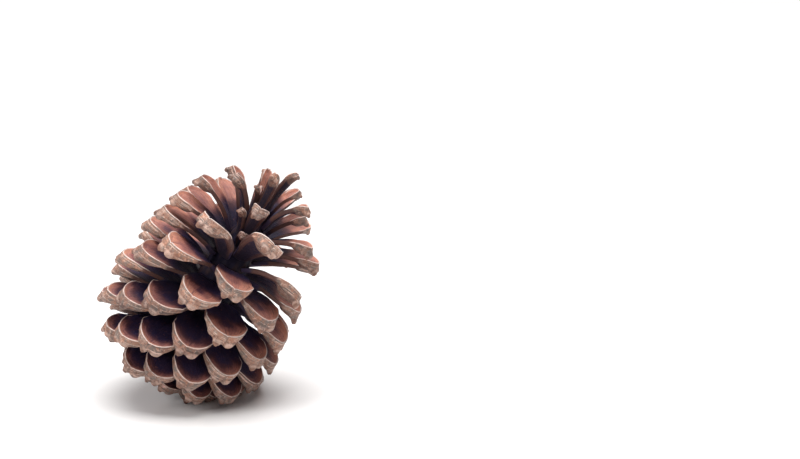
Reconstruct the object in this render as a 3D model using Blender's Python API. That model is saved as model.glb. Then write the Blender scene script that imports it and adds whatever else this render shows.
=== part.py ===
# An open, dry pine cone lying on the tips of its lowest scales.
# Metres, +Z up. The origin is on the ground under the middle of the cone's box.
# The cone is a woody axis with scales set round it on one spiral, a fixed turn from
# each scale to the next. Scales 1 to 59 are pieces of their own. The cramped scales
# round the stalk scar (numbers 0 and below) and the narrow ones at the tip
# (60 and above) are grown together with the axis.

import math

import bmesh
import bpy
from mathutils import Matrix, Vector

MM = 0.001

# The spiral: how far round each scale sits from the one below it, in degrees
TURN_PER_SCALE = 137.46
TURN_OF_SCALE_ZERO = 105.76

FIRST_SCALE = -12
FIRST_LOOSE_SCALE = 1
LAST_LOOSE_SCALE = 59
LAST_SCALE = 80

# How the cone lies: its axis leans from the upright, towards a compass direction
LEAN = 31.5
LEAN_TOWARDS = -10.0
SEAT = (-5.62, 0.97, 19.6)  # where the middle of the outline's zero height sits, millimetres

# The cone's outline, from base to tip, in millimetres.
# Scale number: height and reach of its tip, height of its foot on the axis,
# width of the blade, depth of the thick end
OUTLINE = (
    (-12, (-14.5, 12.0, -12.8, 8.5, 2.3)),
    (0, (-11.2, 20.6, -6.0, 10.6, 2.6)),
    (12, (-6.2, 26.0, -0.9, 11.8, 3.0)),
    (24, (0.6, 26.5, 4.8, 12.2, 3.2)),
    (36, (10.8, 25.8, 12.5, 12.4, 3.6)),
    (48, (23.0, 25.0, 21.5, 12.0, 3.6)),
    (60, (35.3, 22.6, 28.5, 9.6, 3.2)),
    (69, (44.0, 17.6, 33.5, 6.2, 2.7)),
    (75, (49.0, 11.6, 37.5, 4.4, 2.3)),
    (81, (53.4, 3.5, 42.5, 2.0, 1.2)),
)

# Scales that grew out of line: turn in degrees, lift and reach in millimetres, size,
# roll in degrees. Two near the tip stayed stunted, which leaves a hollow there.
STRAYS = {
    -11: (0.0, 0.0, 2.6, 1.0, 0.0),
    -9: (0.0, 0.0, 2.0, 1.0, 0.0),
    -6: (0.0, 0.0, -2.2, 1.0, 0.0),
    -1: (0.0, 0.0, -1.6, 1.0, 0.0),
    1: (0.0, 0.0, 2.5, 1.0, 0.0),
    3: (0.0, 2.0, 0.5, 1.0, 0.0),
    6: (0.0, 1.5, 0.6, 1.0, 0.0),
    7: (0.0, 0.4, -1.2, 1.0, 0.0),
    9: (0.0, -0.6, 0.0, 1.0, 0.0),
    11: (0.0, 2.6, 1.0, 1.0, 0.0),
    12: (0.0, 0.6, 0.0, 1.0, 0.0),
    14: (0.0, 0.9, 0.6, 1.0, 0.0),
    15: (0.0, -0.3, 0.5, 1.0, 0.0),
    16: (0.0, 2.6, 1.0, 1.0, 0.0),
    17: (0.0, -0.6, 0.0, 1.0, 0.0),
    19: (0.0, 3.2, 1.2, 1.0, 0.0),
    20: (0.0, 1.0, 0.0, 1.0, 0.0),
    22: (0.0, 0.5, 0.0, 1.0, 0.0),
    24: (0.0, 3.2, 1.2, 1.0, 0.0),
    25: (0.0, -0.4, 0.0, 1.0, 0.0),
    27: (0.0, 2.1, 0.8, 1.0, 0.0),
    32: (0.0, 3.4, 1.6, 1.0, 0.0),
    37: (0.0, 3.0, 1.4, 1.0, 0.0),
    40: (0.0, 3.2, 1.0, 1.0, 0.0),
    41: (0.0, -3.0, 0.0, 1.0, 0.0),
    45: (0.0, 1.4, 0.6, 1.0, 0.0),
    48: (0.0, 2.8, 0.8, 1.0, 0.0),
    49: (0.0, -4.0, 0.0, 1.0, 0.0),
    53: (0.0, 1.4, 0.4, 1.0, 0.0),
    54: (0.0, 0.0, 0.0, 1.0, -28.0),
    56: (-6.0, 7.0, 0.0, 1.05, 0.0),
    58: (-8.0, 0.0, 0.0, 1.0, 0.0),
    59: (-12.0, 7.5, 0.0, 1.05, -14.0),
    61: (-20.0, -2.0, 1.5, 1.0, 0.0),
    64: (0.0, -4.0, -12.0, 0.5, 0.0),
    67: (14.0, 0.0, 0.0, 1.0, 0.0),
    69: (0.0, -3.0, -9.0, 0.5, 0.0),
    70: (0.0, 1.0, -4.5, 1.0, 0.0),
    72: (-20.0, 0.0, 0.0, 1.15, 0.0),
    74: (8.0, 1.0, 0.0, 1.0, 0.0),
    75: (0.0, 1.5, 0.0, 1.0, 0.0),
    77: (0.0, 5.5, -1.0, 1.0, 0.0),
    79: (0.0, -5.0, -2.0, 1.0, 0.0),
    80: (0.0, 5.0, 1.0, 1.0, 0.0),
}

# The axis: radius at heights along it, from the stalk scar to its hidden tip
CORE = ((-17.0, 3.2), (-14.0, 5.0), (-8.0, 6.2), (4.0, 6.6), (20.0, 6.0),
        (30.0, 4.8), (38.0, 3.2), (44.0, 1.8), (47.0, 0.9))
CORE_SIDES = 14

# One scale: thin foot, blade, then the thick rounded end
FOOT_WIDTH = 4.4
FOOT_DEPTH = 1.1
BLADE_DEPTH = 1.4
FOOT_RISE = 20.0         # degrees by which the blade leaves the axis above its chord
TIP_DROOP = 14.0         # degrees by which its end dips below the chord
WIDEST = 0.72            # where along the blade it is widest
HOLLOW = 0.4             # how far the rims stand above the middle of the upper face
KEEL = 0.45              # how far the thick end's keel juts out, as a share of its depth
GAP = 0.3                # daylight between a loose scale's foot and the axis
ROOT = 1.5               # how deep a grown-on scale's foot runs into the axis
STEPS_ALONG = (0.0, 0.22, 0.44, 0.6, 0.72, 0.84, 0.94, 1.0)

BROWN = (0.30, 0.17, 0.11)
DARK_BROWN = (0.07, 0.045, 0.04)


def through(stations, at):
    """A smooth curve through stations of (place, values), read at one place."""
    places = [place for place, _ in stations]
    last = len(places) - 1
    i = max(0, min(last - 1, sum(place <= at for place in places) - 1))
    span = places[i + 1] - places[i]
    t = (at - places[i]) / span

    def slope(j, part):
        low, high = max(j - 1, 0), min(j + 1, last)
        rise = stations[high][1][part] - stations[low][1][part]
        return rise / (places[high] - places[low]) * span

    values = []
    for part in range(len(stations[0][1])):
        a, b = stations[i][1][part], stations[i + 1][1][part]
        values.append((2 * t**3 - 3 * t**2 + 1) * a + (t**3 - 2 * t**2 + t) * slope(i, part)
                      + (3 * t**2 - 2 * t**3) * b + (t**3 - t**2) * slope(i + 1, part))
    return values


def wobble(number, salt):
    """A fixed, patternless value from -1 to 1 for each scale."""
    return 2 * (math.sin(number * 12.9898 + salt * 78.233) * 43758.5453 % 1.0) - 1


def core_radius(height):
    return through([(place, (radius,)) for place, radius in CORE], height)[0]


def scale_plan(number):
    """Where one scale sits and how large it is."""
    height, reach, foot, width, depth = through(OUTLINE, number)
    turn, lift, stretch, size, roll = STRAYS.get(number, (0.0, 0.0, 0.0, 1.0, 0.0))
    return {
        "turn": TURN_OF_SCALE_ZERO + TURN_PER_SCALE * number + turn + 1.5 * wobble(number, 1),
        "foot": foot,
        "tip_height": height + lift + 0.3 * wobble(number, 2),
        "tip_reach": reach + stretch + 0.4 * wobble(number, 3),
        "width": width * size * (1 + 0.03 * wobble(number, 4)),
        "depth": depth * size,
        "roll": roll + 4.0 * wobble(number, 5),
    }


def midline(start, end):
    """The blade's arch: a curve from foot to tip that rises steeply and then droops."""
    rise = math.tan(math.radians(FOOT_RISE))
    droop = math.tan(math.radians(TIP_DROOP))
    chord = end - start
    across = Vector((-chord.y, chord.x))
    bend = start + chord * droop / (rise + droop) + across * rise * droop / (rise + droop)

    def point(s):
        here = start * (1 - s)**2 + bend * 2 * s * (1 - s) + end * s**2
        along = ((bend - start) * (1 - s) + (end - bend) * s).normalized()
        return here, along

    return point


def half_width(s, width):
    """Half the blade's width: a narrow foot that widens, then a rounded end."""
    if s > WIDEST:
        return 0.5 * width * math.sqrt(1 - ((s - WIDEST) / (1.02 - WIDEST))**2)
    spread = math.sin(0.5 * math.pi * s / WIDEST)**1.3
    return 0.5 * (FOOT_WIDTH + (width - FOOT_WIDTH) * spread)


def depth_at(s, depth):
    """The blade's thickness under its middle: thin, then the swollen end."""
    if s < 0.6:
        return FOOT_DEPTH + (BLADE_DEPTH - FOOT_DEPTH) * s / 0.6
    swell = min(1.0, (s - 0.6) / 0.24)
    return BLADE_DEPTH + (depth - BLADE_DEPTH) * swell * (1.0 if s < 0.97 else 0.75)


def scale_mesh(number, foot_radius):
    """One scale, foot at its origin, +X outwards and +Z towards the cone's tip."""
    plan = scale_plan(number)
    start = Vector((foot_radius, 0.0))
    end = Vector((plan["tip_reach"], plan["tip_height"] - plan["foot"]))
    foot_width = min(FOOT_WIDTH, 0.6 * plan["width"])
    point = midline(start, end)
    bm = bmesh.new()
    loops = []
    for s in STEPS_ALONG:
        here, along = point(s)
        up = Vector((-along.y, along.x))
        half = half_width(s, plan["width"]) * (1 if s else foot_width / FOOT_WIDTH)
        deep = depth_at(s, plan["depth"])
        edge = 0.6 * deep
        jut = KEEL * plan["depth"] * max(0.0, (s - 0.84) / 0.16)
        hollow = HOLLOW * half / (0.5 * plan["width"])
        ring = ((-1.0, hollow), (-0.5, 0.2 * hollow), (0.0, 0.0), (0.5, 0.2 * hollow), (1.0, hollow),
                (0.7, -edge), (0.0, -deep), (-0.7, -edge))
        roll = Matrix.Rotation(math.radians(plan["roll"]) * s, 2)
        verts = []
        for side, rise in ring:
            across, lifted = roll @ Vector((side * half, rise))
            spot = here + up * lifted + along * jut * min(1.0, max(0.0, -rise / deep))
            verts.append(bm.verts.new((spot.x * MM, across * MM, spot.y * MM)))
        loops.append([bm.edges.new((verts[i - 1], verts[i])) for i in range(len(verts))])
        if s in (0.0, 1.0):
            bm.faces.new(verts)
    for low, high in zip(loops, loops[1:]):
        bmesh.ops.bridge_loops(bm, edges=low + high)
    bmesh.ops.recalc_face_normals(bm, faces=bm.faces)
    return to_mesh(f"scale_{number:02d}", bm)


def axis_mesh():
    """The woody axis: rings of its radius, stacked from the stalk scar to the tip."""
    bm = bmesh.new()
    loops = []
    for height, radius in CORE:
        verts = bmesh.ops.create_circle(bm, segments=CORE_SIDES, radius=radius * MM)["verts"]
        bmesh.ops.translate(bm, verts=verts, vec=(0, 0, height * MM))
        loops.append(list({edge for vert in verts for edge in vert.link_edges}))
    for low, high in zip(loops, loops[1:]):
        bmesh.ops.bridge_loops(bm, edges=low + high)
    bmesh.ops.holes_fill(bm, edges=bm.edges)
    bmesh.ops.recalc_face_normals(bm, faces=bm.faces)
    return to_mesh("cone_axis", bm)


def to_mesh(name, bm):
    mesh = bpy.data.meshes.new(name)
    bm.to_mesh(mesh)
    bm.free()
    return mesh


def wood(name, colour, roughness):
    material = bpy.data.materials.new(name)
    material.use_nodes = True
    shader = material.node_tree.nodes["Principled BSDF"]
    shader.inputs["Base Color"].default_value = (*colour, 1.0)
    shader.inputs["Roughness"].default_value = roughness
    shader.inputs["Metallic"].default_value = 0.0
    return material


def place(mesh, cone, number=None):
    """Add a mesh to the scene as a piece of the cone."""
    piece = bpy.data.objects.new(mesh.name, mesh)
    bpy.context.collection.objects.link(piece)
    piece.parent = cone
    if number is not None:
        plan = scale_plan(number)
        piece.location = (0, 0, plan["foot"] * MM)
        piece.rotation_euler = (0, 0, math.radians(plan["turn"]))
    return piece


def boolean(piece, operation, other):
    cut = piece.modifiers.new(f"{operation.lower()} {other.name}", "BOOLEAN")
    cut.operation = operation
    cut.solver = "EXACT"
    cut.object = other


def hide(helper):
    helper.hide_render = True
    helper.display_type = "WIRE"


def ground():
    """The space below the surface that the cone lies on."""
    mesh = bpy.data.meshes.new("ground")
    bm = bmesh.new()
    bmesh.ops.create_cube(bm, size=1.0)
    bmesh.ops.scale(bm, vec=(0.2, 0.2, 0.02), verts=bm.verts)
    bmesh.ops.translate(bm, vec=(0, 0, -0.01), verts=bm.verts)
    bm.to_mesh(mesh)
    bm.free()
    block = bpy.data.objects.new("ground", mesh)
    bpy.context.collection.objects.link(block)
    hide(block)
    return block


def lowest(piece):
    return min((piece.matrix_world @ vert.co).z for vert in piece.data.vertices)


def build():
    for item in list(bpy.data.objects):
        bpy.data.objects.remove(item, do_unlink=True)

    cone = bpy.data.objects.new("cone", None)
    bpy.context.collection.objects.link(cone)
    towards = math.radians(LEAN_TOWARDS)
    pivot = Vector((-math.sin(towards), math.cos(towards), 0.0))
    lean = Matrix.Rotation(math.radians(LEAN), 4, pivot)
    cone.matrix_world = Matrix.Translation(Vector(SEAT) * MM) @ lean

    axis = place(axis_mesh(), cone)
    axis.data.materials.append(wood("cone_axis", DARK_BROWN, 0.75))
    pieces = [axis]
    for number in range(FIRST_SCALE, LAST_SCALE + 1):
        beside = core_radius(scale_plan(number)["foot"])
        loose = FIRST_LOOSE_SCALE <= number <= LAST_LOOSE_SCALE
        mesh = scale_mesh(number, beside + GAP if loose else max(beside - ROOT, 0.3))
        piece = place(mesh, cone, number)
        if loose:
            shade = 1 + 0.12 * wobble(number, 6)
            piece.data.materials.append(wood(piece.name, [shade * part for part in BROWN], 0.6))
            pieces.append(piece)
        else:
            boolean(axis, "UNION", piece)
            hide(piece)

    bpy.context.view_layer.update()
    floor = ground()
    touching = [piece for piece in pieces if piece is axis or lowest(piece) < 0]
    for piece in touching:
        boolean(piece, "DIFFERENCE", floor)
    for piece in pieces:
        piece.data.shade_smooth()
        piece.data.set_sharp_from_angle(angle=math.radians(40))


build()
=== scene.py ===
import math

import bpy
import numpy as np
from mathutils import Matrix, Vector


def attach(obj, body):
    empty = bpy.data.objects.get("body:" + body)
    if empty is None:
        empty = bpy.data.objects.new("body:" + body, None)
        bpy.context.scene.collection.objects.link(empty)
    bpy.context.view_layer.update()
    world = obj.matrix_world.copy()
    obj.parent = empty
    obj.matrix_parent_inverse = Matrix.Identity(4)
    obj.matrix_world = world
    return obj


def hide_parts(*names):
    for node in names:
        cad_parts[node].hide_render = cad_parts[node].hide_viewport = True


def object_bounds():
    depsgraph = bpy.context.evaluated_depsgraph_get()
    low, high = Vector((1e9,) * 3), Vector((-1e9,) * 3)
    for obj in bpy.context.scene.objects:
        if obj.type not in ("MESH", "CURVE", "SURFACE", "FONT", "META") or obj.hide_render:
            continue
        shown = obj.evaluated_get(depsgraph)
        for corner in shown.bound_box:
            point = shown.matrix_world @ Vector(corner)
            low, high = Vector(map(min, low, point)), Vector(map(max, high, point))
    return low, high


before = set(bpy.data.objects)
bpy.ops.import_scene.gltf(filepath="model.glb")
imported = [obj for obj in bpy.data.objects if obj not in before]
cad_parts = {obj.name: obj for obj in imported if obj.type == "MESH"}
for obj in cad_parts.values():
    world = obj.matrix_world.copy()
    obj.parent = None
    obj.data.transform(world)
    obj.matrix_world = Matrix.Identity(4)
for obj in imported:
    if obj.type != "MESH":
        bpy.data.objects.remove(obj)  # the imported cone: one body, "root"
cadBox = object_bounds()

# An open, dry pine cone lying on its lowest scales. Every scale is a closed surface of its
# own, set on the same spiral as the solids it stands for. Lengths are in millimetres until
# a mesh is made, which is in metres.

print("pine cone: frame loaded,", len(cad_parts), "solids")

mm = 0.001

cone = {
    "turn": 137.46,  # degrees from one scale to the next
    "firstTurn": 105.76,  # where scale 0 points
    "first": -12, "firstLoose": 1, "lastLoose": 59, "last": 80,
    "lean": 31.5, "leanTowards": -10.0,
    "seat": (-5.62, 0.97, 19.6),
    # scale: height and reach of its tip, height of its foot, blade width, depth of its thick end
    "outline": (
        (-12, (-14.5, 12.0, -12.8, 8.5, 2.0)),
        (0, (-11.2, 20.6, -6.0, 10.6, 2.2)),
        (12, (-6.2, 26.0, -0.9, 11.8, 2.5)),
        (24, (0.6, 26.5, 4.8, 12.2, 2.9)),
        (36, (10.8, 25.8, 12.5, 12.4, 3.2)),
        (48, (23.0, 25.0, 21.5, 12.0, 3.2)),
        (60, (35.3, 22.6, 28.5, 8.6, 2.9)),
        (69, (44.0, 17.6, 33.5, 4.9, 2.5)),
        (75, (49.0, 11.6, 37.5, 3.6, 2.2)),
        (81, (53.4, 3.5, 42.5, 2.0, 1.2)),
    ),
    # scales out of line: turn in degrees, lift, reach, size, roll in degrees
    "strays": {
        -11: (0.0, 0.0, 2.6, 1.0, 0.0),
        -9: (0.0, 0.0, 2.0, 1.0, 0.0),
        -6: (0.0, 0.0, -2.2, 1.0, 0.0),
        -1: (0.0, 0.0, -1.6, 1.0, 0.0),
        1: (0.0, 0.0, 2.5, 1.0, 0.0),
        3: (0.0, 2.0, 0.5, 1.0, 0.0),
        6: (0.0, 1.5, 0.6, 1.0, 0.0),
        7: (0.0, 0.4, -1.2, 1.0, 0.0),
        9: (0.0, -0.6, 0.0, 1.0, 0.0),
        11: (0.0, 2.6, 1.0, 1.0, 0.0),
        12: (0.0, 0.6, 0.0, 1.0, 0.0),
        14: (0.0, 0.9, 0.6, 1.0, 0.0),
        15: (0.0, -0.3, 0.5, 1.0, 0.0),
        16: (0.0, 2.6, 1.0, 1.0, 0.0),
        17: (0.0, -0.6, 0.0, 1.0, 0.0),
        19: (0.0, 3.2, 1.2, 1.0, 0.0),
        20: (0.0, 1.0, 0.0, 1.0, 0.0),
        22: (0.0, 0.5, 0.0, 1.0, 0.0),
        24: (0.0, 3.2, 1.2, 1.0, 0.0),
        25: (0.0, -0.4, 0.0, 1.0, 0.0),
        27: (0.0, 2.1, 0.8, 1.0, 0.0),
        32: (0.0, 3.4, 1.6, 1.0, 0.0),
        37: (0.0, 3.0, 1.4, 1.0, 0.0),
        40: (0.0, 3.2, 1.0, 1.0, 0.0),
        41: (0.0, -3.0, 0.0, 1.0, 0.0),
        45: (0.0, 1.4, 0.6, 1.0, 0.0),
        48: (0.0, 2.8, 0.8, 1.0, 0.0),
        49: (0.0, -4.0, 0.0, 1.0, 0.0),
        53: (0.0, 1.4, 0.4, 1.0, 0.0),
        54: (0.0, 0.0, 0.0, 1.0, -28.0),
        56: (-6.0, 7.0, 0.0, 1.05, 0.0),
        58: (-8.0, 0.0, 0.0, 1.0, 0.0),
        59: (-12.0, 7.5, 0.0, 1.05, -14.0),
        61: (-20.0, -2.0, 1.5, 1.0, 0.0),
        64: (0.0, -4.0, -12.0, 0.5, 0.0),
        67: (14.0, 0.0, 0.0, 1.0, 0.0),
        69: (0.0, -3.0, -9.0, 0.5, 0.0),
        70: (0.0, 1.0, -4.5, 1.0, 0.0),
        72: (-20.0, 0.0, 0.0, 1.15, 0.0),
        74: (8.0, 1.0, 0.0, 1.0, 0.0),
        75: (0.0, 1.5, 0.0, 1.0, 0.0),
        77: (0.0, 5.5, -1.0, 1.0, 0.0),
        79: (0.0, -5.0, -2.0, 1.0, 0.0),
        80: (0.0, 5.0, 1.0, 1.0, 0.0),
    },
    # radius of the axis at heights along it
    "core": ((-17.0, 3.2), (-14.0, 5.0), (-8.0, 6.2), (4.0, 6.6), (20.0, 6.0),
             (30.0, 4.8), (38.0, 3.2), (44.0, 1.8), (47.0, 0.9)),
}


def through(stations, at):
    # a smooth cubic through stations of (place, values): each piece leaves its two ends with
    # the slope between their neighbours
    places = [place for place, _ in stations]
    last = len(places) - 1
    i = max(0, min(last - 1, sum(place <= at for place in places) - 1))
    span = places[i + 1] - places[i]
    t = (at - places[i]) / span
    values = np.array([value for _, value in stations])

    def slope(j):
        low, high = max(j - 1, 0), min(j + 1, last)
        return (values[high] - values[low]) / (places[high] - places[low]) * span

    return ((2 * t**3 - 3 * t**2 + 1) * values[i] + (t**3 - 2 * t**2 + t) * slope(i)
            + (3 * t**2 - 2 * t**3) * values[i + 1] + (t**3 - t**2) * slope(i + 1))


def wobble(number, salt):
    # a fixed patternless value from -1 to 1: the fraction of a very steep sine
    return 2 * (math.sin(number * 12.9898 + salt * 78.233) * 43758.5453 % 1.0) - 1


def coreRadius(height):
    # the axis's radius at a height: the smooth curve through its stations
    return float(through([(place, (radius,)) for place, radius in cone["core"]], height)[0])


def scalePlan(number):
    # where one scale sits and how large it is, from the outline and its own stray
    height, reach, foot, width, depth = through(cone["outline"], number)
    turn, lift, stretch, size, roll = cone["strays"].get(number, (0.0, 0.0, 0.0, 1.0, 0.0))
    return {
        "turn": cone["firstTurn"] + cone["turn"] * number + turn + 1.5 * wobble(number, 1),
        "foot": foot,
        "tipHeight": height + lift + 0.3 * wobble(number, 2),
        "tipReach": reach + stretch + 0.4 * wobble(number, 3),
        "width": width * size * (1 + 0.03 * wobble(number, 4)),
        "depth": depth * size,
        "roll": math.radians(roll + 4.0 * wobble(number, 5)),
    }


def toFrame(points):
    # leans the upright cone over and sets it on its seat
    towards = math.radians(cone["leanTowards"])
    pivot = Vector((-math.sin(towards), math.cos(towards), 0.0))
    lean = Matrix.Rotation(math.radians(cone["lean"]), 4, pivot)
    matrix = np.array(Matrix.Translation(Vector(cone["seat"])) @ lean)
    return points @ matrix[:3, :3].T + matrix[:3, 3]


def ease(low, high, x):
    # 0 below low, 1 above high, a smooth cubic between; it falls where low is above high
    t = np.clip((x - low) / (high - low), 0, 1)
    return t * t * (3 - 2 * t)


def hump(x, centre, spread):
    # a bell curve, 1 at its centre
    return np.exp(-((x - centre) / spread) ** 2)


def lobe(x, centre, spread):
    # a bell with a flatter top and steeper sides than a hump's
    return np.exp(-np.abs((x - centre) / spread) ** 3)


def grain(x, y, seed):
    # value noise from -1 to 1: hashed values at whole numbers, blended by smooth cubics
    ix, iy = np.floor(x), np.floor(y)
    fx, fy = x - ix, y - iy
    fx, fy = fx * fx * (3 - 2 * fx), fy * fy * (3 - 2 * fy)

    def corner(dx, dy):
        steep = np.sin((ix + dx) * 12.71 + (iy + dy) * 31.17 + seed * 7.47) * 43758.5453
        return np.modf(np.abs(steep))[0]

    low = corner(0, 0) * (1 - fx) + corner(1, 0) * fx
    high = corner(0, 1) * (1 - fx) + corner(1, 1) * fx
    return 2 * (low * (1 - fy) + high * fy) - 1


def column(values):
    # one value for each place round a grid
    return values[:, None]


def gridTriangles(index):
    # two triangles for each cell of a grid that meets itself round its first parameter; those
    # that shrink to a line, where the surface closes, are left out
    a, b = index[:, :-1], index[:, 1:]
    c, d = np.roll(a, -1, axis=0), np.roll(b, -1, axis=0)
    halves = np.stack((a, b, d), -1).reshape(-1, 3), np.stack((a, d, c), -1).reshape(-1, 3)
    triangles = np.concatenate(halves)
    return triangles[(triangles != np.roll(triangles, -1, axis=1)).all(axis=1)]


def makePiece(name, points, triangles, marks, material):
    # a closed triangle mesh in the frame, with its named point values; if its volume comes out
    # negative, its faces are turned
    corners = points[triangles]
    volume = np.einsum("ij,ij->", corners[:, 0], np.cross(corners[:, 1], corners[:, 2]))
    if volume < 0:
        triangles = triangles[:, ::-1]
    used, triangles = np.unique(triangles, return_inverse=True)
    triangles = triangles.reshape(-1, 3)
    points = points[used] * mm
    mesh = bpy.data.meshes.new(name)
    mesh.vertices.add(len(points))
    mesh.vertices.foreach_set("co", points.astype(np.float32).ravel())
    mesh.loops.add(triangles.size)
    mesh.loops.foreach_set("vertex_index", triangles.astype(np.int32).ravel())
    mesh.polygons.add(len(triangles))
    mesh.polygons.foreach_set("loop_start", np.arange(0, triangles.size, 3, dtype=np.int32))
    mesh.update(calc_edges=True)
    for mark, values in marks.items():
        layer = mesh.attributes.new(mark, "FLOAT", "POINT")
        layer.data.foreach_set("value", values.ravel()[used].astype(np.float32))
    mesh.shade_smooth()
    mesh.materials.append(material)
    piece = bpy.data.objects.new(name, mesh)
    bpy.context.scene.collection.objects.link(piece)
    return piece


class Value:
    # a number socket; an expression on it adds the Math nodes it needs
    def __init__(self, paint, socket):
        self.paint, self.socket = paint, socket

    def calc(self, operation, *others):
        node = self.paint.add("ShaderNodeMath", {"operation": operation}, dict(enumerate(others)))
        return Value(self.paint, node.outputs[0])

    def __add__(self, other):
        return self.calc("ADD", self, other)

    def __mul__(self, other):
        return self.calc("MULTIPLY", self, other)

    def __sub__(self, other):
        return self.calc("SUBTRACT", self, other)

    def __rsub__(self, other):
        return self.calc("SUBTRACT", other, self)

    __radd__, __rmul__ = __add__, __mul__

    def abs(self):
        return self.calc("ABSOLUTE", self)

    def ease(self, low, high, start=0.0, end=1.0):
        # smooth step of this value from low to high
        node = self.paint.add("ShaderNodeMapRange", {"interpolation_type": "SMOOTHSTEP"},
                              {"Value": self, "From Min": low, "From Max": high,
                               "To Min": start, "To Max": end})
        return Value(self.paint, node.outputs[0])


class Paint:
    # the nodes of one material, or of the world
    def __init__(self, name, shelf="materials", shader="Principled BSDF"):
        self.owner = getattr(bpy.data, shelf).new(name)
        self.owner.use_nodes = True
        self.tree = self.owner.node_tree
        self.shader = self.tree.nodes[shader]

    def add(self, kind, settings=None, inputs=None):
        # settings are set first, then the sockets' values or links
        node = self.tree.nodes.new(kind)
        for key, setting in (settings or {}).items():
            if key == "stops":
                ramp = node.color_ramp
                while len(ramp.elements) < len(setting):
                    ramp.elements.new(1.0)
                for element, (place, colour) in zip(ramp.elements, setting):
                    element.position, element.color = place, (*colour, 1.0)
            else:
                setattr(node, key, setting)
        for key, value in (inputs or {}).items():
            self.feed(node.inputs[key], value)
        return node

    def feed(self, socket, value):
        # a link where the value comes from a node, else the socket's own value
        if isinstance(value, Value):
            value = value.socket
        if isinstance(value, bpy.types.NodeSocket):
            self.tree.links.new(value, socket)
        elif isinstance(value, tuple) and len(value) == 3 and socket.type == "RGBA":
            socket.default_value = (*value, 1.0)
        else:
            socket.default_value = value

    def mark(self, name):
        # one of the piece's own point values
        node = self.add("ShaderNodeAttribute", {"attribute_name": name})
        return Value(self, node.outputs["Fac"])

    def noise(self, vector, scale, detail=3.0, roughness=0.55, distortion=0.0):
        node = self.add("ShaderNodeTexNoise", inputs={
            "Vector": vector, "Scale": scale, "Detail": detail, "Roughness": roughness,
            "Distortion": distortion})
        return Value(self, node.outputs["Fac"])

    def ramp(self, value, *stops):
        return self.add("ShaderNodeValToRGB", {"stops": stops}, {0: value}).outputs[0]

    def mix(self, factor, under, over, blend="MIX"):
        node = self.add("ShaderNodeMix", {"data_type": "RGBA", "blend_type": blend},
                        {0: factor, 6: under, 7: over})
        return node.outputs[2]

    def vector(self, x, y, z):
        return self.add("ShaderNodeCombineXYZ", inputs={0: x, 1: y, 2: z}).outputs[0]

    def bump(self, height, strength, distance):
        sockets = {"Strength": strength, "Distance": distance, "Height": height}
        return self.add("ShaderNodeBump", inputs=sockets).outputs[0]

    def finish(self, **sockets):
        # feeds the shader's sockets; an underscore stands for a space in a socket's name
        for name, value in sockets.items():
            self.feed(self.shader.inputs[name.replace("_", " ")], value)
        return self.owner


scaleLook = {
    "stain": (0.0235, 0.0175, 0.0620),  # the inner half of the upper face: a dark stain deepened with painted shade
    "deep": (0.090, 0.033, 0.046),  # its edge, and the cracks
    "face": (0.33, 0.125, 0.105),
    "faceGrey": (0.30, 0.165, 0.155),
    "faceTip": (0.66, 0.285, 0.195),  # nearest to the rim: the face's red-brown brightened as a painted highlight
    # the rim's pale line, brightened to near white as a painted highlight
    "rim": (0.95, 0.79, 0.72),
    "end": (0.30, 0.165, 0.118),  # the thick end
    "endGrey": (0.175, 0.140, 0.120),
    "endRust": (0.46, 0.175, 0.085),
    "endDark": (0.070, 0.036, 0.034),
    "endLight": (0.70, 0.49, 0.40),
    "knob": (0.25, 0.125, 0.085),
    "band": (0.020, 0.013, 0.032),  # the dark strip down the underside
    "margin": (0.125, 0.055, 0.043),  # beside that strip
    # a lit copy of the margin's brown: painted light
    "marginLit": (0.34, 0.180, 0.128),
    "toneDark": (0.22, 0.20, 0.21), "toneLight": (0.74, 0.73, 0.71),  # laid over whole scales
    "bump": 0.9, "bumpDepth": 0.0004, "specular": 0.42,
}


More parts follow.
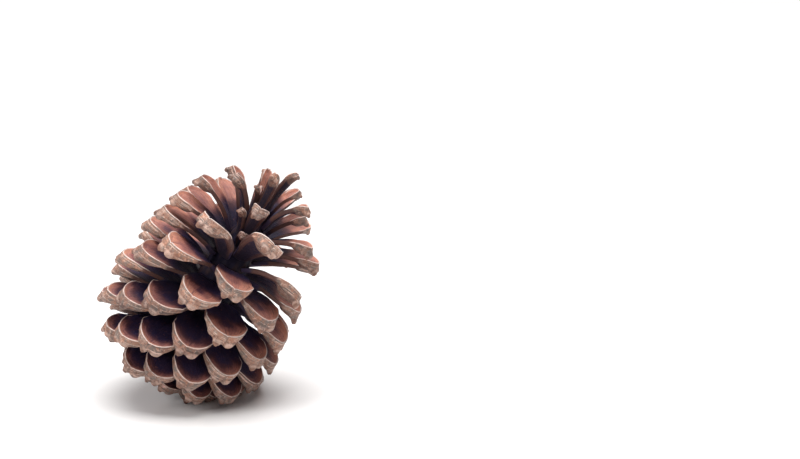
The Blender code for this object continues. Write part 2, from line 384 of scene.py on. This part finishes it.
def scaleWood():
    # the upper face darkens towards the foot, a real stain deepened with painted shade, up to a
    # painted highlight by the pale rim line, itself brightened as a painted highlight; the thick end
    # is a mottled grey tan with a rusty knob, and the underside has a dark strip down its middle
    look = scaleLook
    paint = Paint("scaleWood")
    place = paint.add("ShaderNodeTexCoord").outputs["Object"]
    along, across, side = paint.mark("along"), paint.mark("across"), paint.mark("side")
    rim, stain, tone = paint.mark("rim"), paint.mark("stain"), paint.mark("tone")
    knob, tipness = paint.mark("knob"), paint.mark("tipness")

    lay = paint.vector(across, along * 0.16, side * 3.0 + tone * 5.0)
    fibre = paint.noise(lay, 14.0, 4.0, 0.6)
    fineFibre = paint.noise(lay, 42.0, 3.0, 0.6)
    cloud = paint.noise(place, 260.0, 4.0, 0.6)
    speck = paint.noise(place, 1500.0, 3.0, 0.65)
    blotch = paint.noise(place, 620.0, 3.0, 0.6, 0.6)
    patch = paint.noise(place, 850.0, 4.0, 0.7, 0.4)

    # upper face: a stain deepened with painted shade towards the foot
    depth = stain + (cloud - 0.5) * 0.9 + (fibre - 0.5) * 0.7 + tone * 0.15
    # the ramp runs from the stain and painted shade to a painted highlight by the rim
    upper = paint.ramp(depth * 0.5 + 0.5, (0.36, look["stain"]), (0.60, look["deep"]),
                       (0.80, look["face"]), (1.0, look["faceTip"]))
    upper = paint.mix(fineFibre.ease(0.45, 0.70) * rim.ease(0.3, 1.4) * 0.55, upper, look["deep"])
    upper = paint.mix(speck.ease(0.58, 0.75) * 0.35, upper, look["faceTip"])
    upper = paint.mix(patch.ease(0.46, 0.64) * depth.ease(0.0, 0.6) * 0.35, upper, look["faceGrey"])
    crease = (across + tone * 0.25 + (fibre - 0.5) * 0.25).abs().ease(0.0, 0.045, 1.0, 0.0)
    crease = crease * rim.ease(0.35, 0.6) * rim.ease(2.2, 4.5, 1.0, 0.0) * cloud.ease(0.42, 0.52)
    upper = paint.mix(crease * 0.8, upper, look["deep"])

    # thick end
    layer = paint.noise(paint.vector(across * 2.6, rim * 0.5, tone * 9.0), 2.0, 5.0, 0.75, 1.6)
    end = paint.mix(blotch.ease(0.42, 0.60), look["end"], look["endGrey"])
    end = paint.mix(cloud.ease(0.48, 0.62) * patch.ease(0.40, 0.60) * 0.7, end, look["endRust"])
    end = paint.mix(layer.ease(0.50, 0.66) * 0.7, end, look["endDark"])
    end = paint.mix(patch.ease(0.52, 0.70) * 0.6, end, look["endLight"])
    end = paint.mix(layer.ease(0.38, 0.48, 1.0, 0.0) * blotch.ease(0.35, 0.6), end, look["endLight"])
    end = paint.mix(rim.ease(1.2, 3.6) * 0.45, end, look["endDark"])
    edge = knob.ease(0.15, 0.40) * knob.ease(0.50, 0.75, 1.0, 0.0) * cloud.ease(0.35, 0.55)
    end = paint.mix(edge * 0.45, end, look["endLight"])
    end = paint.mix(knob.ease(0.45, 0.85) * 0.75, end, look["knob"])
    end = paint.mix(speck.ease(0.56, 0.70) * 0.7, end, look["endDark"])

    # underside of the blade
    stripEdge = across.abs() + (fibre - 0.5) * 0.10
    under = paint.mix(stripEdge.ease(0.56, 0.64), look["band"], look["margin"])
    # the underside's outer edges take the lit margin colour: painted light
    under = paint.mix(stripEdge.ease(0.72, 1.0) * (0.2 + fibre * 0.6), under, look["marginLit"])
    under = paint.mix(fineFibre.ease(0.42, 0.66) * 0.7, under, look["band"])
    flecks = speck.ease(0.54, 0.70) * blotch.ease(0.4, 0.6) * 0.35
    under = paint.mix(flecks, under, look["marginLit"])
    under = paint.mix(along.ease(0.05, 0.42, 1.0, 0.0) * 0.75, under, look["band"])
    under = paint.mix(along.ease(0.72, 0.78), under, end)

    # the three sides together; the blade's own narrow flanks are plain
    colour = paint.mix(side.ease(0.35, 0.65), upper, end)
    flank = paint.mix(fibre.ease(0.40, 0.62) * 0.7, look["margin"], look["endDark"])
    flank = paint.mix(tipness.ease(0.25, 0.8), flank, end)
    # the flanks darken with the same stain and painted shade
    flank = paint.mix(stain.ease(-0.25, 0.05, 0.85, 0.0), flank, look["stain"])
    colour = paint.mix(side.ease(0.35, 0.65), colour, flank)
    colour = paint.mix(side.ease(1.35, 1.65), colour, under)

    # the rim's pale line, brightened to near white as a painted highlight, and the thin
    # line inside it
    broken = cloud.ease(0.32, 0.52, 0.40, 1.0) * (0.72 + speck * 0.6)
    rimLine = rim.ease(0.10, 0.30, 1.0, 0.0) * tipness.ease(0.02, 0.35) * broken
    colour = paint.mix(rimLine, colour, look["rim"])
    inner = (rim - 1.15).abs().ease(0.0, 0.22, 1.0, 0.0) * side.ease(0.0, 0.4, 1.0, 0.0)
    inner = inner * tipness.ease(0.1, 0.5) * blotch.ease(0.4, 0.6)
    colour = paint.mix(inner * 0.55, colour, look["deep"])

    # each scale a little lighter or darker
    shade = paint.ramp(tone * 0.5 + 0.5, (0.0, look["toneDark"]), (1.0, look["toneLight"]))
    colour = paint.mix(0.5, colour, shade, "OVERLAY")

    height = fibre * 0.35 + fineFibre * 0.35 + speck * 0.35 + blotch * 0.3 + layer * side * 0.5
    bump = paint.bump(height, look["bump"], look["bumpDepth"])
    rough = 0.62 - side.ease(0.35, 0.65, 0.12, 0.0) + (speck - 0.5) * 0.2
    return paint.finish(Base_Color=colour, Roughness=rough, Normal=bump,
                        Specular_IOR_Level=look["specular"])


axisLook = {
    # near-black navy: the axis's dark wood deepened as painted shade
    "dark": (0.012, 0.009, 0.026),
    "brown": (0.045, 0.024, 0.026),
    "scar": (0.36, 0.22, 0.15),
    "bump": 0.7, "bumpDepth": 0.0003, "specular": 0.2,
}


def axisWood():
    # wood painted near-black navy as painted shade for the cone's hollow middle, with brown
    # ridges, and a pale broken stalk scar underneath
    look = axisLook
    paint = Paint("axisWood")
    place = paint.add("ShaderNodeTexCoord").outputs["Object"]
    ridge, scar = paint.mark("ridge"), paint.mark("scar")
    cloud = paint.noise(place, 420.0, 4.0, 0.6)
    speck = paint.noise(place, 1700.0, 3.0, 0.6)
    colour = paint.mix(ridge.ease(-0.2, 0.9) * (0.3 + cloud), look["dark"], look["brown"])
    colour = paint.mix(scar * (0.5 + speck * 0.5), colour, look["scar"])
    bump = paint.bump(cloud + speck * 0.5, look["bump"], look["bumpDepth"])
    return paint.finish(Base_Color=colour, Roughness=0.65 + (speck - 0.5) * 0.25, Normal=bump,
                        Specular_IOR_Level=look["specular"])


scaleShape = {
    "around": 96, "topRows": 15, "wallRows": 19, "underRows": 11,
    "footWidth": 4.4, "footDepth": 1.1, "bladeDepth": 1.35,
    "rise": 20.0, "droop": 14.0,  # degrees the blade leaves and ends at, from its chord
    "hook": 16.0,  # how much further the tip's scales droop
    "over": 1.01,  # the blade's length, as a share of its chord's
    "widest": 0.72, "corner": 0.05,
    "hollow": 0.4,  # how far the rims stand above the middle
    "lip": 0.18, "groove": 0.15, "shoulder": 0.42,  # the rim, the line inside it, its slope
    "seedBed": 0.14,  # depth of the two hollows that seeds lay in
    "crest": 0.60,  # how far down the wall the keel is
    # shares of the thick end's depth: how far each thing juts out, or hangs down
    "keel": 0.27, "tuck": 0.25, "knobOut": 0.40, "knobDown": 0.38,
    "lobeOut": 0.32, "lobeDown": 0.30, "dimple": 0.10,
    "wrinkle": 0.11, "fineWrinkle": 0.05,
    "strip": 0.22,  # depth of the step beside the underside's middle strip
    "twist": 0.06, "bow": 0.30, "sway": 0.5,  # slow bends of each blade
    "root": 0.5,  # how deep a foot runs into the axis
    # by scale, up the spiral: width of the brown border, where the face and the rest of the
    # blade turn dark, and how light the whole scale is; that dark is a real stain deepened with
    # painted shade, reaching further on the lower scales, which the ones above shade
    "brownWidth": ((-12, 20, 34, 44, 54, 64), (2.0, 2.6, 4.2, 7.0, 11.0, 12.0)),
    "faceDark": ((-12, 20, 34, 44, 54, 64), (0.98, 0.96, 0.90, 0.80, 0.66, 0.60)),
    "bladeDark": ((-12, 34, 50, 64), (0.80, 0.72, 0.56, 0.50)),
    "tone": ((-12, 10, 30, 48, 58, 66), (-0.9, -0.6, -0.15, 0.3, 0.0, -0.55)),
}


def halfWidth(s, width):
    # a narrow foot that widens as a sine, then an ellipse round the end
    shape = scaleShape
    footWidth = min(shape["footWidth"], 0.6 * width)
    spread = np.sin(0.5 * np.pi * np.clip(s / shape["widest"], 0, 1)) ** 1.3
    end = np.sqrt(np.clip(1 - ((s - shape["widest"]) / (1 - shape["widest"])) ** 2, 0, 1))
    corner = 1 + shape["corner"] * hump(s, shape["widest"] + 0.03, 0.04)
    body = 0.5 * (footWidth + (width - footWidth) * spread)
    return body * np.where(s > shape["widest"], end, 1) * corner


def underDepth(s, sideShare, depth):
    # the thickness of a thin blade that swells into the thick end, which is a crescent: full
    # in the middle and thin at its two corners
    shape = scaleShape
    blade = shape["footDepth"] + (shape["bladeDepth"] - shape["footDepth"]) * np.clip(s / 0.6, 0, 1)
    thickEnd = depth * (1 - 0.15 * ease(0.86, 1.0, s)) * (1 - 0.76 * sideShare**2.2)
    swell = ease(0.64, 0.80, s)
    return blade * (1 - 0.4 * sideShare**2) * (1 - swell) + thickEnd * swell


def bladeArch(number, plan):
    # a quadratic curve of radius and height, from the axis to the tip; its control point is
    # where the rise from the foot meets the droop at the tip
    shape = scaleShape
    foot = max(coreRadius(plan["foot"]) - shape["root"], 0.2)
    start = np.array((foot, 0.0))
    end = np.array((plan["tipReach"], plan["tipHeight"] - plan["foot"]))
    chord = end - start
    hooked = float(ease(54, 66, number))  # 1 for the slim scales of the tip
    rise = math.tan(math.radians(shape["rise"]))
    droop = math.tan(math.radians(shape["droop"] + shape["hook"] * hooked))
    square = np.array((-chord[1], chord[0]))
    bend = start + (chord + square * rise) * droop / (rise + droop)
    return start, bend, end, np.hypot(*chord) * shape["over"]


def bladeOutline(number, plan, length):
    # round the scale: the share along is a squeezed cosine of the angle, the place across is
    # the half width there with low lumps, and the way out is square to the outline
    count = scaleShape["around"]
    phi = 2 * np.pi * np.arange(count) / count
    share = ((1 - np.cos(phi)) / 2) ** 0.8
    edgeSide = np.where(share < 0.3, np.clip(np.sin(phi) / 0.2, -1, 1), np.sign(np.sin(phi)))
    lumps = 1 + 0.035 * grain(share * 6, edgeSide * 3 + 0.5, number) + 0.04 * wobble(number, 11) * edgeSide
    x, y = share * length, halfWidth(share, plan["width"]) * edgeSide * lumps
    alongX, alongY = np.roll(x, -1) - np.roll(x, 1), np.roll(y, -1) - np.roll(y, 1)
    size = np.hypot(alongX, alongY) + 1e-9
    outX, outY = alongY / size, -alongX / size
    if (outX * (x - x.mean())).sum() < 0:
        outX, outY = -outX, -outY
    return share, x, y, outX, outY


def upperRelief(number, plan, s, y, edge, tipness):
    # height of the upper face: a hollow that grows with the square of the share across, a lip
    # and a groove at the rim as bell curves of the distance from it, and two seed beds
    shape = scaleShape
    half = 0.5 * plan["width"]
    local = np.clip(np.abs(y) / (halfWidth(s, plan["width"]) + 0.05), 0, 1)
    z = shape["hollow"] * local**2 * ease(0.0, 0.3, s)
    z = z + tipness * (shape["lip"] * hump(edge, 0.0, 0.36) - shape["groove"] * hump(edge, 1.05, 0.28)
                       + shape["shoulder"] * hump(edge, 0.0, 1.9))
    seedX, seedY = (s - 0.50) / 0.26, (np.abs(y) - 0.42 * half) / (0.36 * half + 0.1)
    z = z - shape["seedBed"] * ease(1.15, 0.75, np.hypot(seedX, seedY))
    z = z + 0.05 * grain(y * 2.2, s * 3, number + 3) * ease(0, 0.5, edge)
    return z + 0.025 * grain(y * 6.5, s * 7, number + 5) * ease(0, 0.5, edge)


def wallRelief(number, wide, q):
    # the thick end, by the share across it and down it: a keel that rises to its crest and
    # falls away, a knob a little off the middle with a dimple in it, and a lobe on each side
    crest = scaleShape["crest"] + 0.05 * wobble(number, 12)
    fall = np.clip((q - crest) / (1 - crest), 0, 1) ** 1.3
    keel = np.where(q < crest, (q / crest) ** 0.75, 1 - 0.8 * fall)
    knobAt = -0.22 + 0.14 * wobble(number, 13)
    lobeAt = knobAt + 0.50 + 0.08 * wobble(number, 14)
    otherAt = knobAt - 0.36 + 0.06 * wobble(number, 15)
    knob = lobe(wide, knobAt, 0.16) * lobe(q, crest + 0.16, 0.25)
    lobes = 0.85 * lobe(wide, lobeAt, 0.22) * lobe(q, crest + 0.14, 0.30)
    lobes = lobes + 0.40 * lobe(wide, otherAt, 0.12) * lobe(q, crest + 0.10, 0.28)
    dimple = hump(wide, knobAt, 0.05) * hump(q, crest + 0.16, 0.06)
    return keel, knob, lobes, dimple


def ontoArch(plan, arch, x, y, z):
    # a point's place along picks a point of the arch; from there it goes out along the curve,
    # across it, and up square to it, turned by the blade's roll; then round to its azimuth
    start, bend, end, length = arch
    p = np.clip(x / length, 0, 1)
    hereR = start[0] * (1 - p) ** 2 + bend[0] * 2 * p * (1 - p) + end[0] * p**2
    hereH = start[1] * (1 - p) ** 2 + bend[1] * 2 * p * (1 - p) + end[1] * p**2
    aimR = (bend[0] - start[0]) * (1 - p) + (end[0] - bend[0]) * p
    aimH = (bend[1] - start[1]) * (1 - p) + (end[1] - bend[1]) * p
    aim = np.hypot(aimR, aimH)
    aimR, aimH = aimR / aim, aimH / aim
    beyond = x - p * length
    turn = plan["roll"] * p
    across = y * np.cos(turn) - z * np.sin(turn)
    lifted = y * np.sin(turn) + z * np.cos(turn)
    radial = hereR + aimR * beyond - aimH * lifted
    upward = hereH + aimH * beyond + aimR * lifted + plan["foot"]
    azimuth = math.radians(plan["turn"])
    return np.stack((radial * math.cos(azimuth) - across * math.sin(azimuth),
                     radial * math.sin(azimuth) + across * math.cos(azimuth), upward), axis=-1)


def insideBox(points, p):
    # a scale that reaches past the solids leans back by as much, more towards its tip, and is
    # flat where it lies on the ground
    low, high = np.array(cadBox) / mm
    pastLow = np.maximum(low - points.min(axis=(0, 1)), 0) * (1, 1, 0)
    pastHigh = np.maximum(points.max(axis=(0, 1)) - high, 0)
    points = points + (pastLow - pastHigh) * ease(0.3, 0.9, p)[..., None]
    points[..., 2] = np.maximum(points[..., 2], 0)
    return points


def scaleSurface(number):
    # A closed surface on two parameters: round the outline, and from the spine of the upper
    # face over the rim, down the wall of the thick end, to the spine of the underside.
    # In its own plan it has a place along the blade and a place across; the blade's arch
    # then carries that plan into the cone.
    shape, plan = scaleShape, scalePlan(number)
    count, rows = shape["around"], (shape["topRows"], shape["wallRows"], shape["underRows"])
    arch = bladeArch(number, plan)
    length, half, thick = arch[3], 0.5 * plan["width"], plan["depth"]
    edgeShare, edgeX, edgeY, outX, outY = bladeOutline(number, plan, length)

    # the spine: a stretch of the middle that both sides share
    around = np.arange(count)
    firstHalf = edgeShare[:count // 2 + 1]
    low, high = int(np.argmax(firstHalf >= 0.05)), int(np.max(np.nonzero(firstHalf <= 0.80)))
    spine = np.clip(np.minimum(around, count - around), low, high)
    spineX = column(edgeShare[spine] * length)

    tipness = column(ease(0.60, 0.86, edgeShare))
    wide = column(np.clip(edgeY / half, -1, 1))
    edgeX, edgeY, outX, outY = column(edgeX), column(edgeY), column(outX), column(outY)

    # upper face, from the spine to the rim
    t = np.linspace(0, 1, rows[0])[None, :]
    f = 1 - (1 - t) ** 1.7
    topX = spineX + (edgeX - spineX) * f
    topY = edgeY * f
    topEdge = np.hypot(edgeX - topX, edgeY - topY)
    topZ = upperRelief(number, plan, topX / length, topY, topEdge, tipness)

    def undersideAt(x, y):
        return -underDepth(np.clip(x / length, 0, 1), np.clip(np.abs(y) / half, 0, 1), thick)

    # wall: from the rim, out over the keel and its knobs, and back to the underside
    q = np.linspace(0, 1, rows[1] + 1)[None, 1:]
    keel, knob, lobes, dimple = wallRelief(number, wide, q)
    wrinkle = grain(wide * 9 + 3 * q, q * 2.2 + wide, number + 7)
    fine = grain(wide * 22, q * 7, number + 9)
    arc = np.sin(np.pi * q)
    lumps = shape["knobOut"] * knob + shape["lobeOut"] * lobes - shape["dimple"] * dimple
    out = tipness * (shape["keel"] * thick * (keel * (1 - wide**2) - shape["tuck"] * q * wide**2)
                     + thick * lumps
                     + shape["wrinkle"] * wrinkle * arc + shape["fineWrinkle"] * fine * arc**0.5)
    out = out + 0.10 * arc * (1 - tipness)
    wallX = edgeX + outX * out
    wallY = edgeY + outY * out
    topRim, lowRim = topZ[:, -1:], undersideAt(edgeX, edgeY)
    hang = shape["knobDown"] * knob + shape["lobeDown"] * lobes
    wallZ = topRim + (lowRim - topRim) * q - tipness * thick * hang

    # underside, from the wall back to the spine
    g = 1 - np.linspace(0, 1, rows[2] + 1)[None, 1:]
    lowX = spineX + (wallX[:, -1:] - spineX) * g
    lowY = wallY[:, -1:] * g
    lowS = np.clip(lowX / length, 0, 1)
    lowLocal = np.clip(np.abs(lowY) / (halfWidth(lowS, plan["width"]) + 0.05), 0, 1)
    lowZ = undersideAt(lowX, lowY) * (1 - g**6) + wallZ[:, -1:] * g**6
    step = ease(0.50, 0.58, lowLocal) * ease(0.15, 0.3, lowS) * ease(0.80, 0.70, lowS)
    lowZ = lowZ + shape["strip"] * step * (1 - g**6) + 0.04 * grain(lowY * 4, lowS * 4, number + 8)

    x = np.hstack((topX, wallX, lowX))
    y = np.hstack((topY, wallY, lowY))
    z = np.hstack((topZ, wallZ, lowZ))

    # slow bends that no two scales share
    s = x / length
    z = z + shape["bow"] * grain(s * 2.0, y / half * 0.8 + 2, number + 1) * ease(0.1, 0.6, s)
    z = z + shape["twist"] * wobble(number, 16) * y * ease(0.4, 1.0, s)
    y = y + shape["sway"] * grain(s * 1.5, s * 0 + 4.5, number + 2) * ease(0.2, 1.0, s)

    p = np.clip(s, 0, 1)
    points = insideBox(toFrame(ontoArch(plan, arch, x, y, z)), p)

    # what the wood's pattern follows
    total = x.shape[1]
    side = np.concatenate((np.zeros(rows[0] - 1), [0.5], np.ones(rows[1]), np.full(rows[2], 2.0)))
    wallFall = np.hypot(wallX - edgeX, wallZ - topRim)
    brownWidth, faceDark, bladeDark, tone = (
        np.interp(number, *shape[key]) for key in ("brownWidth", "faceDark", "bladeDark", "tone"))
    # where the face and blade turn dark: a real stain deepened with painted shade
    faceStainAndShade = np.minimum(1 - topEdge / brownWidth, 1 + 5 * (p[:, :rows[0]] - faceDark))
    bladeStainAndShade = np.clip(1 + 4 * (p[:, rows[0]:] - bladeDark), -1, 1)
    marks = {
        "along": p,
        "across": np.sign(y) * np.clip(np.abs(y) / (halfWidth(p, plan["width"]) + 0.05), 0, 1),
        "side": np.broadcast_to(side[None, :], x.shape),  # 0 upper face, 1 wall, 2 underside
        "rim": np.hstack((topEdge, wallFall, np.full(lowX.shape, 9.0))),  # mm from the rim
        "stain": np.hstack((faceStainAndShade, bladeStainAndShade)),  # -1 darkest: a stain deepened with painted shade
        "knob": np.hstack((topX * 0, np.clip(knob + 0.7 * lobes, 0, 1), lowX * 0)) * tipness,
        "tipness": np.broadcast_to(tipness, x.shape),
        "tone": np.full(x.shape, 0.6 * wobble(number, 17) + tone),
    }

    # both spines are shared by the two sides
    index = np.arange(count * total).reshape(count, total)
    index[:, 0] = index[spine, 0]
    index[:, -1] = index[spine, -1]
    return points.reshape(-1, 3), gridTriangles(index), marks


def makeScales(material):
    # one piece for each scale; those joined to the axis's solid stand for it together
    for number in range(cone["first"], cone["last"] + 1):
        points, triangles, marks = scaleSurface(number)
        loose = cone["firstLoose"] <= number <= cone["lastLoose"]
        if loose:
            name, node = f"woodScale_{number:02d}", f"scale_{number:02d}"
        elif number < cone["firstLoose"]:
            name, node = f"baseScale_{number - cone['first'] + 1:02d}", "cone_axis"
        else:
            name, node = f"tipScale_{number - cone['lastLoose']:02d}", "cone_axis"
        piece = makePiece(name, points, triangles, marks, material)
        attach(piece, "root")
        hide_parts(node)


axisShape = {"around": 72, "rows": 150, "capRows": 8, "ridge": 0.35, "bark": 0.25, "scarBark": 0.35}


def makeAxis(material):
    # A turned surface: the radius is a smooth curve along the height, with low ridges that
    # follow the spiral and rough bark. Its two ends close on the axis.
    shape = axisShape
    low, high = cone["core"][0][0], cone["core"][-1][0]
    heights = np.linspace(low, high, shape["rows"])
    radii = np.array([coreRadius(height) for height in heights])
    cap = np.linspace(0, 1, shape["capRows"], endpoint=False)
    heights = np.concatenate((np.full(len(cap), low), heights, np.full(len(cap), high)))
    radii = np.concatenate((radii[0] * cap, radii, (radii[-1] * cap)[::-1]))
    angle = 2 * np.pi * np.arange(shape["around"]) / shape["around"]
    a, h = angle[:, None], heights[None, :]
    ridge = np.sin(8 * a - 0.55 * h) * np.sin(5 * a + 0.35 * h)
    body = np.minimum(radii / 3.0, 1.0)[None, :]
    rough = grain(np.cos(a) * 4 + h * 0.4, np.sin(a) * 4 + h * 0.1, 3)
    r = radii[None, :] + body * (shape["ridge"] * ridge + shape["bark"] * rough)
    r[:, 0] = 0
    r[:, -1] = 0
    base = np.clip((low + 1.0 - h) / 1.0, 0, 1)
    z = h + base * shape["scarBark"] * rough * np.clip(r / 2.0, 0, 1)
    points = np.stack((r * np.cos(a), r * np.sin(a), z), axis=-1)
    points = toFrame(points)
    count, total = r.shape
    index = np.arange(count * total).reshape(count, total)
    index[:, 0] = index[0, 0]
    index[:, -1] = index[0, -1]
    marks = {"ridge": ridge + rough * 0.5, "scar": np.broadcast_to(base, r.shape)}
    piece = makePiece("woodAxis", points.reshape(-1, 3), gridTriangles(index), marks, material)
    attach(piece, "root")
    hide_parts("cone_axis")


studio = {
    "floorSize": 6.0, "floor": (0.93, 0.925, 0.915), "floorRough": 0.16, "floorSpecular": 0.4,
    "around": (0.25, 0.225, 0.230),  # the world's light, though the camera sees it as white
    "sun": {"from": (0.08, 0.10, 1.0), "strength": 4.5, "angle": 54.0},
    "fill": {"place": (-0.60, -0.35, 0.50), "size": 0.35, "power": 3.1},
}


def makeStudio():
    # a pale floor, a broad sun above, a soft lamp on the left, and a dim warm world
    mesh = bpy.data.meshes.new("floor")
    half = studio["floorSize"] / 2
    corners = [(-half, -half, 0), (half, -half, 0), (half, half, 0), (-half, half, 0)]
    mesh.from_pydata(corners, [], [(0, 1, 2, 3)])
    floor = bpy.data.objects.new("floor", mesh)
    bpy.context.scene.collection.objects.link(floor)
    mesh.materials.append(Paint("paleFloor").finish(
        Base_Color=studio["floor"], Roughness=studio["floorRough"],
        Specular_IOR_Level=studio["floorSpecular"]))

    world = Paint("studio", "worlds", "Background")
    seen = world.add("ShaderNodeLightPath").outputs["Is Camera Ray"]
    bpy.context.scene.world = world.finish(Color=world.mix(seen, studio["around"], (1.0, 1.0, 1.0)))

    middle = (cadBox[0] + cadBox[1]) / 2
    lamp = studio["fill"]
    fill = bpy.data.lights.new("fill", "AREA")
    fill.shape, fill.size, fill.energy = "DISK", lamp["size"], lamp["power"]
    sun = bpy.data.lights.new("sun", "SUN")
    sun.energy, sun.angle = studio["sun"]["strength"], math.radians(studio["sun"]["angle"])
    for light, place, towards in ((fill, Vector(lamp["place"]), middle),
                                  (sun, Vector(studio["sun"]["from"]), Vector())):
        holder = bpy.data.objects.new(light.name, light)
        holder.location = place
        holder.rotation_euler = (towards - place).to_track_quat("-Z", "Y").to_euler()
        bpy.context.scene.collection.objects.link(holder)
    bpy.context.scene.view_settings.view_transform = "Standard"


camera = {
    "elevation": 14.0, "lens": 100.0, "sensor": 36.0,
    "distance": 0.644,  # from the middle of the outline's zero height
    "aside": 0.06093, "above": 0.02827,  # how far the view's centre is from it
}


def makeCamera():
    # looks level along +Y from its elevation, with the cone left of the view's centre
    e = math.radians(camera["elevation"])
    right, up = Vector((1, 0, 0)), Vector((0, math.sin(e), math.cos(e)))
    back = Vector((0, -math.cos(e), math.sin(e)))
    data = bpy.data.cameras.new("camera")
    data.lens, data.sensor_width = camera["lens"], camera["sensor"]
    holder = bpy.data.objects.new("camera", data)
    place = (Vector(cone["seat"]) * mm + right * camera["aside"] + up * camera["above"]
             + back * camera["distance"])
    holder.matrix_world = Matrix.Translation(place) @ Matrix((right, up, back)).transposed().to_4x4()
    bpy.context.scene.collection.objects.link(holder)
    bpy.context.scene.camera = holder


makeAxis(axisWood())
print("pine cone: axis made")
makeScales(scaleWood())
print("pine cone: scales made")
makeStudio()
makeCamera()
print("pine cone: studio made")
